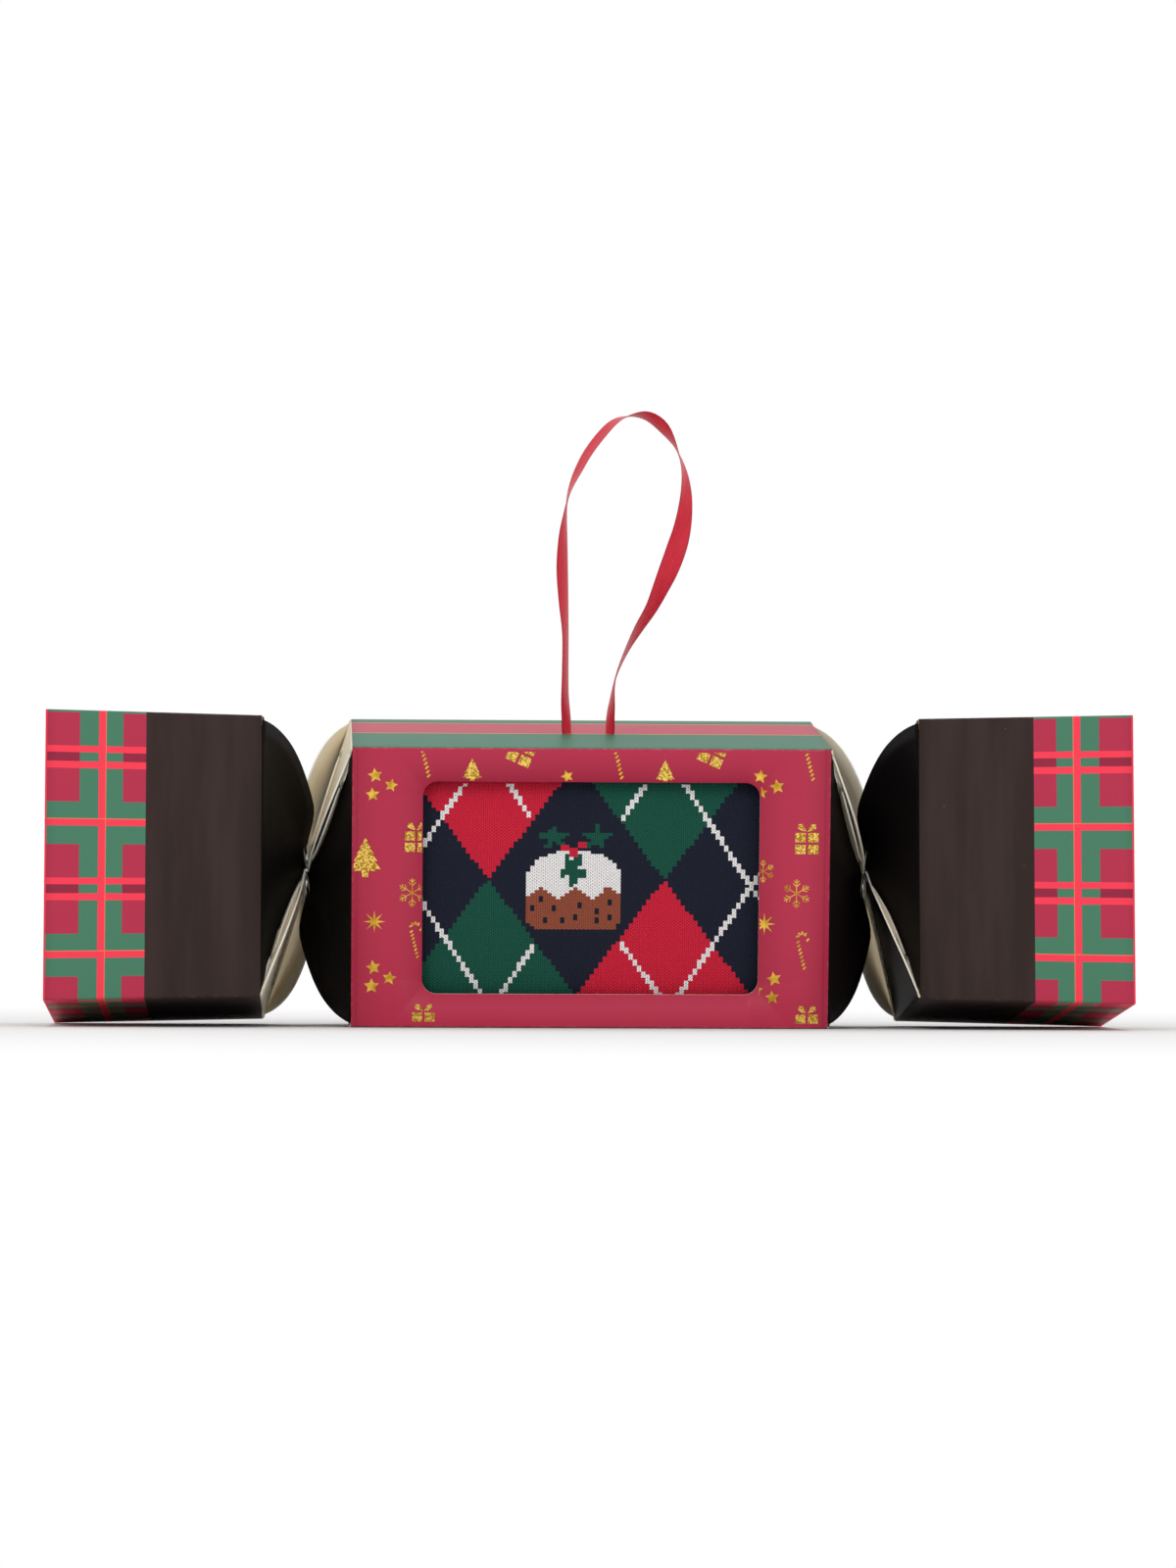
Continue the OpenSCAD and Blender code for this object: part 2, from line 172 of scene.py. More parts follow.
TABLE_HALF = 6
mesh = bmesh.new()
bmesh.ops.create_grid(mesh, x_segments=1, y_segments=1, size=TABLE_HALF)
table = bpy.data.objects.new("table", bpy.data.meshes.new("table"))
mesh.to_mesh(table.data)
mesh.free()
studio.collection.objects.link(table)
table_white, shader, tone = finish("table_white", Roughness=0.9)
tone.node("TexNoise", {"Scale": 3.0}).ramp(0.2, 0.8, 0.0, 1.0).over(
    (0.84, 0.84, 0.84, 1), (0.86, 0.86, 0.86, 1)).into(shader, "Base Color")
place = tone.node("TexCoord", out="Object")
away = tone.node("VectorMath", {0: place}, out="Value", operation="LENGTH")
glow = tone.node("Emission", {"Color": (1, 1, 1, 1), "Strength": 1.0})
# The table is plain near the cracker and turns to pure white between these distances.
WHITE_FROM, WHITE_TO = 0.16, 0.5
lit = tone.node("MixShader", {0: straight_rays(tone.tree) * away.ramp(WHITE_FROM, WHITE_TO),
                              1: Tone(tone.tree, shader.outputs[0]), 2: glow})
lit.into(table_white.node_tree.nodes["Material Output"], "Surface")
table.data.materials.append(table_white)

# The hanging ribbon: one length of narrow red satin, knotted under the top panel
# and drawn up through two holes. It is stiff enough to stand as a twisted loop.
RIBBON_W = 0.006
RIBBON_T = 0.00032
GATHERED_T = 0.0011
RIBBON_CUP = 0.00025
PICK, WARP_END = 0.00038, 0.00026
RIBBON_FOOT = Vector((0, -0.005112, 0.082439))
# Along X, along Y and height over the top panel's middle in millimetres, then the
# turn of the ribbon's face in degrees and the share of its full width.
RIBBON_ROUTE = [
    (-1.5, 0.8, -5.5, 30, 0.5), (-4.5, 0.4, -3, 30, 0.5), (-5.5, 0, -0.2, 30, 0.5),
    (-5.7, -0.3, 4, 50, 0.7), (-6, -0.5, 10, 66, 1), (-6, -0.8, 18, 70, 1),
    (-6, -1.1, 28, 70, 1), (-6.6, -1.4, 37.5, 60, 1), (-7, -1.6, 46.5, 55, 1),
    (-6.8, -1.6, 55, 63, 1), (-6.3, -1.5, 61, 77, 1), (-5.8, -1.4, 65.5, 90, 1),
    (-4.6, -1.2, 69.5, 101, 1), (-2.6, -1, 74, 111, 1), (0.4, -0.7, 79.5, 115, 1),
    (4.6, -0.3, 85, 115, 1), (8, 0, 88.2, 108, 1), (12, 0.4, 89.8, 90, 1),
    (17, 0.8, 89.6, 68, 1), (21.4, 1.2, 86.4, 63, 1), (25.2, 1.4, 80.5, 90, 1),
    (27.2, 1.5, 74.5, 108, 1), (27.8, 1.5, 68.5, 124, 1), (27.5, 1.4, 63, 137, 1),
    (26.6, 1.2, 57.5, 150, 1), (25.2, 1, 52.5, 163, 1), (23.2, 0.8, 47, 160, 1),
    (20.8, 0.5, 41.5, 143, 1), (18, 0.3, 35.5, 127, 1), (14.6, 0.1, 30, 117, 1),
    (11.6, 0, 24.5, 105, 1), (9.2, 0, 19, 97, 1), (7.6, -0.1, 13.5, 88, 1),
    (6.9, -0.2, 8, 74, 1), (6.6, -0.2, 4, 62, 0.8), (6.5, 0, -0.2, 40, 0.5),
    (5.5, 0.4, -3, 35, 0.5), (2.5, 0.8, -5.5, 30, 0.5),
]


def put_in_order(mesh):
    """Orders the mesh by place, because extruding leaves another order each run."""
    for parts, place in ((mesh.verts, lambda v: v.co[:]),
                         (mesh.edges, lambda e: (e.verts[0].co + e.verts[1].co)[:]),
                         (mesh.faces, lambda face: face.calc_center_median()[:])):
        rank = {part: i for i, part in enumerate(sorted(parts, key=place))}
        parts.sort(key=rank.get)


def route_between(i, share):
    """The route's values between two of its points, on one smooth line."""
    last = len(RIBBON_ROUTE) - 1
    near = [RIBBON_ROUTE[max(0, min(last, i + step))] for step in (-1, 0, 1, 2)]
    return [
        b + (c - a) * share / 2 + (2 * a - 5 * b + 4 * c - d) * share ** 2 / 2
        + (3 * b - a - 3 * c + d) * share ** 3 / 2
        for a, b, c, d in zip(*near)
    ]


STEPS = 4
route = [route_between(i, step / STEPS)
         for i in range(len(RIBBON_ROUTE) - 1) for step in range(STEPS)]
route.append(list(RIBBON_ROUTE[-1]))
route_line = [RIBBON_FOOT + Vector(stop[:3]) / 1000 for stop in route]
mesh = bmesh.new()
across_layer = mesh.verts.layers.float.new("across")
along_layer = mesh.verts.layers.float.new("along")
angle_layer = mesh.verts.layers.float.new("angle")
bmesh.ops.create_circle(mesh, radius=1, segments=16)
for v in mesh.verts:
    v[angle_layer] = atan2(v.co.y, v.co.x)
ring = list(mesh.edges)
run = 0.0
for i, here in enumerate(route_line):
    if i:
        made = bmesh.ops.extrude_edge_only(mesh, edges=ring)["geom"]
        ring_verts = [g for g in made if isinstance(g, bmesh.types.BMVert)]
        moved = set(ring_verts)
        ring = [g for g in made if isinstance(g, bmesh.types.BMEdge)
                and g.verts[0] in moved and g.verts[1] in moved]
        run += (here - route_line[i - 1]).length
    else:
        ring_verts = list(mesh.verts)
    ahead, behind = route_line[min(i + 1, len(route) - 1)], route_line[max(i - 1, 0)]
    forward = (ahead - behind).normalized()
    side = Vector((0, 1, 0)).cross(forward).normalized()
    face_turn, width_share = radians(route[i][3]), route[i][4]
    across = side * cos(face_turn) + forward.cross(side) * sin(face_turn)
    through = forward.cross(across)
    half_t = (RIBBON_T + (GATHERED_T - RIBBON_T) * (2 - 2 * width_share)) / 2
    cup = RIBBON_CUP * width_share
    for v in ring_verts:
        share = cos(v[angle_layer])
        v.co = (here + across * (share * RIBBON_W * width_share / 2)
                + through * (sin(v[angle_layer]) * half_t + cup * (share * share - 0.5)))
        v[across_layer], v[along_layer] = share, run
bmesh.ops.contextual_create(mesh, geom=ring)
bmesh.ops.contextual_create(mesh, geom=[e for e in mesh.edges if e.is_boundary])
bmesh.ops.recalc_face_normals(mesh, faces=mesh.faces)
uv = mesh.loops.layers.uv.new("weave")
for face in mesh.faces:
    face.smooth = True
    for loop in face.loops:
        loop[uv].uv = (loop.vert[along_layer], loop.vert[across_layer] * RIBBON_W / 2)
put_in_order(mesh)
ribbon = bpy.data.objects.new("satin_hanging_ribbon", bpy.data.meshes.new("satin_hanging_ribbon"))
mesh.to_mesh(ribbon.data)
mesh.free()
studio.collection.objects.link(ribbon)

satin, shader, tone = finish("red_satin", Roughness=0.36, Specular_IOR_Level=0.2, Sheen_Weight=0.04)
print_uv = tone.node("UVMap", uv_map="weave")
flat = tone.node("SeparateXYZ", {0: print_uv})
along, over_width = flat, flat.other("Y")
picks = ((along + over_width * 0.55) * (2 * pi / PICK)).maths("SINE")
ends = (over_width * (2 * pi / WARP_END)).maths("SINE")
stretched = tone.node("Mapping", {0: print_uv, 3: (260, 2600, 1)})
streak = tone.node("TexNoise", {0: stretched, "Scale": 1.0, "Detail": 3.0})
selvedge = abs(over_width).ramp(0.00255, 0.0029)
# Each pick's crest is painted a lighter red: a painted highlight on the weave.
thread_glint = picks * 0.5 + 0.5
base = streak.ramp(0.3, 0.7).over(paint("#bb1a2c"), paint("#d8233a"))
base = (thread_glint * 0.25).over(base, paint("#e83a4c"))
base = (selvedge * 0.55).over(base, paint("#8e0f26"))
base.into(shader, "Base Color")
(streak * 0.18 + 0.3).into(shader, "Roughness")
weave = picks * 0.6 + ends * 0.4
tone.node("Bump", {"Height": weave, "Strength": 0.25, "Distance": 0.00002}).into(shader, "Normal")
ribbon.data.materials.append(satin)
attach(ribbon, "carton_body")
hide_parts("hang_ribbon")

# The ribbon's knot: the gathered satin takes one turn under the top panel, where
# the two holes are too small for it to pass.
knot_satin, shader, tone = finish("gathered_satin", Roughness=0.45, Sheen_Weight=0.25)
place = tone.node("TexCoord", out="Object")
folds_and_shade = tone.node("TexNoise", {0: place, "Scale": 900.0, "Detail": 3.0})
# The satin is painted darker in the hollows of its folds and lighter on their ridges: painted shade
# and highlight.
folds_and_shade.ramp(0.3, 0.7).over(paint("#8f1027"), paint("#c31c38")).into(shader, "Base Color")
tone.node("Bump", {"Height": folds_and_shade, "Strength": 0.6, "Distance": 0.0003}).into(shader, "Normal")
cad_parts["ribbon_knot"].data.materials.clear()
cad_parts["ribbon_knot"].data.materials.append(knot_satin)

# The body: half-millimetre card, printed and satin-laminated outside, raw and pale
# inside, scored and folded into a square tube that leans towards the viewer.
CARD_T = 0.0005
HALF = 0.039
BODY_HALF_L = 0.066
FOLD_R = 0.0007
SAME = 1e-7
AXIS_H = 0.043775571
BODY_LEAN = radians(7.531922)
WINDOW_X, WINDOW_Z, WINDOW_R = 0.0465, 0.0295, 0.004
body_place = Matrix.Translation((0, 0, AXIS_H)) @ Matrix.Rotation(BODY_LEAN, 4, "X")
CRIMSON, PINE, FOIL = paint("#b42a48"), paint("#2c6a52"), paint("#d9a441")


def raw_card(name, code, fibre):
    """Uncoated card: pale, matt, with short fibres in it."""
    made, shader, tone = finish(name, Roughness=0.85)
    place = tone.node("TexCoord", out="Object")
    hairs = tone.node("TexNoise", {0: place, "Scale": 1800.0, "Detail": 4.0})
    clouds = tone.node("TexNoise", {0: place, "Scale": 60.0, "Detail": 2.0})
    base = (hairs.ramp(0.35, 0.7) * fibre).over(paint(code), paint("#b9ab92"))
    (clouds.ramp(0.3, 0.7) * 0.12).over(base, paint("#fffaf0")).into(shader, "Base Color")
    tone.node("Bump", {"Height": hairs, "Strength": 0.3, "Distance": 0.00005}).into(shader, "Normal")
    return made


def laminate(name, roughness=0.34, shine=0.25):
    """Printed card under a satin film: slight waves over the panel, and fine grain. Its
    last two values are the way along the print and the way across it."""
    made, shader, tone = finish(name, Specular_IOR_Level=shine)
    print_uv = tone.node("UVMap", uv_map="print")
    place = tone.node("TexCoord", out="Object")
    waves = tone.node("TexNoise", {0: place, "Scale": 16.0, "Detail": 1.0})
    grain = tone.node("TexNoise", {0: place, "Scale": 2600.0, "Detail": 2.0})
    height = waves + grain * 0.012
    tone.node("Bump", {"Height": height, "Strength": 0.5, "Distance": 0.0012}).into(shader, "Normal")
    (grain * 0.12 + roughness).into(shader, "Roughness")
    flat = tone.node("SeparateXYZ", {0: print_uv})
    return made, shader, tone, flat, flat.other("Y")


def worn_fold(base, distance, width=0.0009, wear=0.14):
    """The print cracks a little on a fold: lighter flecks within width of it."""
    place = base.node("TexCoord", out="Object")
    flecks = base.node("TexNoise", {0: place, "Scale": 700.0, "Detail": 3.0}).ramp(0.46, 0.68)
    near = distance.ramp(0.0, width, 1.0, 0.0)
    return (near * flecks * wear).over(base, paint("#d8b9b0"))


card_inside = raw_card("card_inside", "#ddd0b4", 0.2)
card_edge = raw_card("card_cut_edge", "#f4efe4", 0.12)
# Faces with this number keep the print round their edge, because the card folds there.
FOLDED_OVER = 3


def flat_side(start, end, columns):
    """The flat part of a tube's top side, laid level."""
    mesh = bmesh.new()
    level = HALF - FOLD_R
    bmesh.ops.create_grid(mesh, x_segments=columns, y_segments=10, size=0.5)
    bmesh.ops.scale(mesh, vec=(end - start, 2 * level, 1), verts=mesh.verts)
    bmesh.ops.translate(mesh, vec=((start + end) / 2, 0, HALF), verts=mesh.verts)
    return mesh


def windowed_side():
    """The flat part of the body's front, laid level, with its round-cornered window."""
    mesh = bmesh.new()
    bmesh.ops.create_grid(mesh, x_segments=1, y_segments=1, size=1)
    bmesh.ops.scale(mesh, vec=(WINDOW_X, WINDOW_Z, 1), verts=mesh.verts)
    bmesh.ops.bevel(mesh, geom=list(mesh.verts), affect="VERTICES", offset=WINDOW_R,
                    segments=8, profile=0.5, material=-1)
    bmesh.ops.delete(mesh, geom=list(mesh.faces), context="FACES_ONLY")
    window_edges = set(mesh.edges)
    bmesh.ops.create_grid(mesh, x_segments=1, y_segments=1, size=1,
                          matrix=Matrix.Diagonal((BODY_HALF_L, HALF - FOLD_R, 1, 1)))
    outer = [e for e in mesh.edges if e not in window_edges]
    bmesh.ops.delete(mesh, geom=list(mesh.faces), context="FACES_ONLY")
    bmesh.ops.subdivide_edges(mesh, edges=outer, cuts=11)
    bmesh.ops.triangle_fill(mesh, edges=list(mesh.edges), use_beauty=True)
    bmesh.ops.translate(mesh, vec=(0, 0, HALF), verts=mesh.verts)
    bmesh.ops.recalc_face_normals(mesh, faces=mesh.faces)
    if sum(face.normal.z for face in mesh.faces) < 0:
        bmesh.ops.reverse_faces(mesh, faces=mesh.faces)
    return mesh


def fold_at(mesh, x):
    """The sheet goes on over a fold at this X, so its edge there isn't a cut one."""
    for face in mesh.faces:
        if any(all(abs(v.co.x - x) < SAME for v in e.verts) for e in face.edges):
            face.material_index = FOLDED_OVER


def round_long_folds(mesh):
    """Adds half of a rounded fold to each long edge."""
    level = HALF - FOLD_R
    for edge in (-1, 1):
        rim = [e for e in mesh.edges if all(abs(v.co.y - edge * level) < SAME for v in e.verts)]
        bmesh.ops.spin(mesh, geom=rim, cent=(0, edge * level, level), axis=(-edge, 0, 0),
                       angle=pi / 4, steps=4, use_duplicate=False)


def girth(co):
    """Distance from the panel's centre line, measured over the card's outside."""
    level = HALF - FOLD_R
    if abs(co.y) <= level + SAME:
        return co.y
    turn = atan2(abs(co.y) - level, co.z - level)
    return (level + FOLD_R * turn) * (1 if co.y > 0 else -1)


def finish_card(mesh, name, materials, body, node, slot_name):
    """Gives the sheet its thickness and finishes, which are the print, the raw inside and
    the cut edge, and puts it in its node's place. A petal passes no body, because it blends
    between two, and its sharp crease takes a plain thickness."""
    bmesh.ops.remove_doubles(mesh, verts=mesh.verts, dist=SAME)
    put_in_order(mesh)
    made = bpy.data.objects.new(name, bpy.data.meshes.new(name))
    mesh.to_mesh(made.data)
    mesh.free()
    studio.collection.objects.link(made)
    for material in (*materials, *materials[:2], materials[0]):
        made.data.materials.append(material)
    wall = made.modifiers.new("card", "SOLIDIFY")
    wall.thickness, wall.offset, wall.use_even_offset = CARD_T, -1, body is not None
    wall.material_offset, wall.material_offset_rim = 1, 2
    if body:
        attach(made, body)
    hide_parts(node)
    return made


def crimson_ground(tone):
    """The red of the front and back, a little uneven as printed card is."""
    wash = tone.node("TexNoise", {0: tone.node("TexCoord", out="Object"), "Scale": 9.0})
    return (wash.ramp(0.3, 0.7) * 0.35).over(CRIMSON, paint("#bd3450"))


SCORE_X, SCORE_HALF_W = 0.0646, 0.0002
TOP_RED_FROM, TOP_RED_TO, BASE_RED_HALF = -0.0006, 0.0281, 0.0195
FOIL_LINE_HALF, PRINT_SOFT = 0.0004, 0.0001
body_prints = {}
made, shader, tone, along, up = laminate("crimson_front_print")
base = up.band(-0.0391, -0.0388).over(crimson_ground(tone), PINE)
# The score near each end is painted as a darker line: painted shade in its groove.
score_groove_shade = (abs(along) - SCORE_X).band(-SCORE_HALF_W, SCORE_HALF_W, SCORE_HALF_W)
base = (score_groove_shade * 0.35).over(base, paint("#7d1a30"))
base = worn_fold(base, abs(HALF - abs(up)))
worn_fold(base, BODY_HALF_L - abs(along), 0.0006).into(shader, "Base Color")
body_prints["front"] = made
made, shader, tone, along, up = laminate("banded_top_print", 0.42, 0.16)
base = up.ramp(TOP_RED_FROM - PRINT_SOFT, TOP_RED_FROM + PRINT_SOFT).over(PINE, paint("#b33a50"))
base = up.ramp(TOP_RED_TO - PRINT_SOFT, TOP_RED_TO + PRINT_SOFT).over(base, PINE)
for line in (TOP_RED_FROM, TOP_RED_TO):
    base = up.band(line - FOIL_LINE_HALF, line + FOIL_LINE_HALF).over(base, FOIL)
worn_fold(base, abs(HALF - abs(up))).into(shader, "Base Color")
body_prints["top"] = made
made, shader, tone, along, up = laminate("crimson_back_print")
base = up.band(0.0379, 0.0391).over(crimson_ground(tone), PINE)
worn_fold(base, abs(HALF - abs(up))).into(shader, "Base Color")
body_prints["back"] = made
made, shader, tone, along, up = laminate("banded_base_print")
out_of_red = abs(up) - BASE_RED_HALF
base = out_of_red.ramp(-PRINT_SOFT, PRINT_SOFT).over(paint("#a92a45"), PINE)
base = out_of_red.band(-FOIL_LINE_HALF, FOIL_LINE_HALF).over(base, FOIL)
worn_fold(base, abs(HALF - abs(up))).into(shader, "Base Color")
body_prints["bottom"] = made

for quarter, side in enumerate(("top", "front", "bottom", "back")):
    mesh = windowed_side() if side == "front" else flat_side(-BODY_HALF_L, BODY_HALF_L, 24)
    round_long_folds(mesh)
    fold_at(mesh, -BODY_HALF_L)
    fold_at(mesh, BODY_HALF_L)
    uv = mesh.loops.layers.uv.new("print")
    for face in mesh.faces:
        face.smooth = True
        for loop in face.loops:
            loop[uv].uv = (loop.vert.co.x, girth(loop.vert.co))
    bmesh.ops.transform(mesh, verts=mesh.verts,
                        matrix=body_place @ Matrix.Rotation(quarter * pi / 2, 4, "X"))
    finish_card(mesh, f"printed_{side}_panel", (body_prints[side], card_inside, card_edge),
                "carton_body", f"body_{side}_panel",
                "crimson_card" if side in ("front", "back") else "green_card")

# The glue flaps: bare card tabs inside the back panels, stuck down with white glue
# that dries in faint streaks.
flap_card, shader, tone = finish("glued_flap_card", Roughness=0.7)
place = tone.node("TexCoord", out="Object")
hairs = tone.node("TexNoise", {0: place, "Scale": 1500.0, "Detail": 4.0})
glue = tone.node("TexNoise", {0: tone.node("Mapping", {0: place, 3: (30, 260, 260)}), "Scale": 1.0})
base = (hairs.ramp(0.35, 0.7) * 0.3).over(paint("#e6dfd0"), paint("#b5a88f"))
(glue.ramp(0.5, 0.6) * 0.3).over(base, paint("#f3efe2")).into(shader, "Base Color")
glue.ramp(0.5, 0.6, 0.8, 0.45).into(shader, "Roughness")
tone.node("Bump", {"Height": hairs, "Strength": 0.3, "Distance": 0.00005}).into(shader, "Normal")
for node in ("body_glue_flap", "left_end_glue_flap", "right_end_glue_flap"):
    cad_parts[node].data.materials.clear()
    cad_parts[node].data.materials.append(flap_card)

# The foil pictures on the front and back: stars, fir trees, parcels, canes and
# flakes stamped in gold leaf a few hundredths of a millimetre over the print.
FOIL_LIFT = 0.00005
FOIL_HALF_L, FOIL_LOW, FOIL_HIGH = 0.0655, 0.0376, 0.0378
WINDOW_MARGIN = 0.0003
CUT_SNAP = 1e-8


def foil_shape(mesh, points):
    """One flat leaf of foil with this outline, in millimetres."""
    verts = [mesh.verts.new((x / 1000, y / 1000, 0)) for x, y in points]
    edges = [mesh.edges.new((verts[i - 1], verts[i])) for i in range(len(verts))]
    bmesh.ops.triangle_fill(mesh, edges=edges, use_beauty=True)
    return verts


def foil_place(mesh, verts, x, y, turn):
    """Turns a picture's leaves about its middle and moves them to their place."""
    place = Matrix.Translation((x / 1000, y / 1000, 0)) @ Matrix.Rotation(radians(turn), 4, "Z")
    bmesh.ops.transform(mesh, verts=verts, matrix=place)


def star(mesh, x, y, size, turn, points=5, waist=0.48):
    """A star whose size is its radius, and whose inner corners lie at the waist's share."""
    outline = []
    for i in range(2 * points):
        reach = size * (1 if i % 2 == 0 else waist)
        outline.append((sin(pi * i / points) * reach, cos(pi * i / points) * reach))
    foil_place(mesh, foil_shape(mesh, outline), x, y, turn)


def tree(mesh, x, y, size, turn):
    """A fir tree of four tiers on a short trunk."""
    half = [(0, 4), (0.35, 3.5), (0.3, 3.1), (1.1, 2.1), (0.8, 2.05), (1.75, 0.8), (1.3, 0.85),
            (2.4, -0.6), (1.8, -0.6), (3.1, -2.3), (2.2, -2.15), (2.1, -2.6), (0.75, -2.5),
            (0.55, -3.8)]
    outline = half + [(-a, b) for a, b in reversed(half[1:])]
    foil_place(mesh, foil_shape(mesh, [(a * size, b * size) for a, b in outline]), x, y, turn)


def parcel(mesh, x, y, size, turn):
    """A box in four quarters with bare ribbons between them, and a bow of two leaves."""
    quarter = [(0.25, 0.25), (2.3, 0.25), (2.3, 2.1), (0.25, 2.1)]
    made = []
    for a, b in ((1, 1), (-1, 1), (-1, -1), (1, -1)):
        made += foil_shape(mesh, [(a * p * size, (b * q - 0.6) * size) for p, q in quarter])
    bow = [(0.1, 1.75), (0.9, 3.3), (1.7, 3.2), (1.8, 2.4), (1.0, 1.95)]
    for a in (-1, 1):
        made += foil_shape(mesh, [(a * p * size, q * size) for p, q in bow])
    foil_place(mesh, made, x, y, turn)


def cane(mesh, x, y, size, turn):
    """A hooked stick of slanted foil dashes."""
    dash = [(-0.22, -0.45), (0.22, -0.45), (0.22, 0.45), (-0.22, 0.45)]
    slant = 0.55
    line = [(0, -4.6 + 0.98 * i) for i in range(8)]
    line += [(1.25 - 1.25 * cos(i * pi / 5), 2.9 + 1.35 * sin(i * pi / 5)) for i in range(1, 5)]
    line.append((2.5, 2.2))
    made = []
    for i, (a, b) in enumerate(line):
        ahead, behind = line[min(i + 1, len(line) - 1)], line[max(i - 1, 0)]
        lean = atan2(ahead[1] - behind[1], ahead[0] - behind[0]) + slant
        made += foil_shape(mesh, [
            ((a + cos(lean) * p - sin(lean) * q) * size, (b + sin(lean) * p + cos(lean) * q) * size)
            for p, q in dash])
    foil_place(mesh, made, x, y, turn)


def flake(mesh, x, y, size, turn):
    """A snow crystal of six arms, each with two pairs of side twigs."""
    half_w = 0.12
    twigs = [(0, 0, 0, 4), (0, 1.9, 1.0, 2.9), (0, 1.9, -1.0, 2.9), (0, 2.9, 0.7, 3.6),
             (0, 2.9, -0.7, 3.6)]
    made = []
    for arm in range(6):
        angle = arm * pi / 3
        for x0, y0, x1, y1 in twigs:
            share = half_w / hypot(x1 - x0, y1 - y0)
            aside = (y0 - y1) * share, (x1 - x0) * share
            bar = [(x0 + aside[0], y0 + aside[1]), (x1 + aside[0], y1 + aside[1]),
                   (x1 - aside[0], y1 - aside[1]), (x0 - aside[0], y0 - aside[1])]
            made += foil_shape(mesh, [
                ((cos(angle) * p - sin(angle) * q) * size, (sin(angle) * p + cos(angle) * q) * size)
                for p, q in bar])
    foil_place(mesh, made, x, y, turn)


def cut_round(mesh, half_l, low, high, clear):
    """Cuts the foil along four straight lines, and clears what lies outside if asked."""
    for co, no in (((half_l, 0, 0), (1, 0, 0)), ((-half_l, 0, 0), (-1, 0, 0)),
                   ((0, high, 0), (0, 1, 0)), ((0, -low, 0), (0, -1, 0))):
        bmesh.ops.bisect_plane(mesh, geom=[*mesh.verts, *mesh.edges, *mesh.faces],
                               dist=CUT_SNAP, plane_co=co, plane_no=no, clear_outer=clear)


# Each picture's kind, its place across and up the panel in millimetres, size and turn.
FRONT_FOIL = [
    (star, -59.7, 31.1, 2.1, 8), (star, -55.3, 28.4, 1.9, -12), (star, -60.4, 25.8, 2.0, 4),
    (star, -6.8, 31.1, 1.8, 20), (star, 46.5, 31.3, 2.0, -8), (star, 51.2, 28.5, 2.1, 10),
    (star, 46.8, 26.8, 1.8, 0), (star, -59.9, -22.2, 2.1, 10), (star, -55.5, -25.2, 2.0, -8),
    (star, -60.4, -27.4, 2.2, 0), (star, 51.0, -25.0, 2.1, 12), (star, 46.0, -28.1, 2.0, -6),
    (star, 50.5, -30.2, 2.0, 5),
    (tree, -33.0, 32.6, 0.85, 0), (tree, -62.3, 8.2, 1.4, 0), (tree, 20.2, 32.4, 0.85, 0),
    (parcel, -19.2, 38.4, 1.5, -24), (parcel, 33.6, 38.4, 1.5, -24), (parcel, -48.3, 13.6, 1.35, 0),
    (parcel, 59.6, 13.6, 1.4, 0), (parcel, -46.0, -36.8, 1.35, 0), (parcel, 60.2, -37.0, 1.35, 0),
    (cane, -46.3, 36.4, 1.2, 14), (cane, 6.9, 36.2, 1.2, 14), (cane, 59.7, 36.0, 1.2, 14),
    (cane, -48.9, -14.5, 1.05, 14), (cane, 58.1, -17.1, 1.1, 14),
    (flake, -49.3, -1.4, 1.0, 0), (flake, 56.9, -1.2, 1.0, 0), (flake, 47.6, 5.0, 0.8, 0),
]
BURSTS = [(-59.7, -9.5, 3.1), (48.1, -9.7, 3.1)]
BURST_POINTS, BURST_WAIST = 8, 0.3
gold_leaf, shader, tone = finish("stamped_gold_foil", Metallic=1.0)
place = tone.node("TexCoord", out="Object")
drift = tone.node("TexNoise", {0: place, "Scale": 420.0, "Detail": 2.0})
drift.ramp(0.3, 0.7).over(paint("#c08f2c"), paint("#f0c552")).into(shader, "Base Color")
drift.ramp(0.3, 0.7, 0.3, 0.42).into(shader, "Roughness")
glitter_leaf, shader, tone = finish("glittered_gold_foil", Metallic=1.0)
place = tone.node("TexCoord", out="Object")
flecks = tone.node("TexVoronoi", {0: place, "Scale": 2600.0}, out="Color")
speck = tone.node("SeparateXYZ", {0: flecks})
speck.ramp(0.25, 0.75).over(paint("#a87a22"), paint("#f2cf6b")).into(shader, "Base Color")
speck.other("Y").ramp(0.0, 1.0, 0.28, 0.5).into(shader, "Roughness")
relief = {"Height": speck.other("Z"), "Strength": 0.5, "Distance": 0.00005}
tone.node("Bump", relief).into(shader, "Normal")
smooth = [item for item in FRONT_FOIL if item[0] not in (tree, parcel)]
glittered = [item for item in FRONT_FOIL if item[0] in (tree, parcel)]
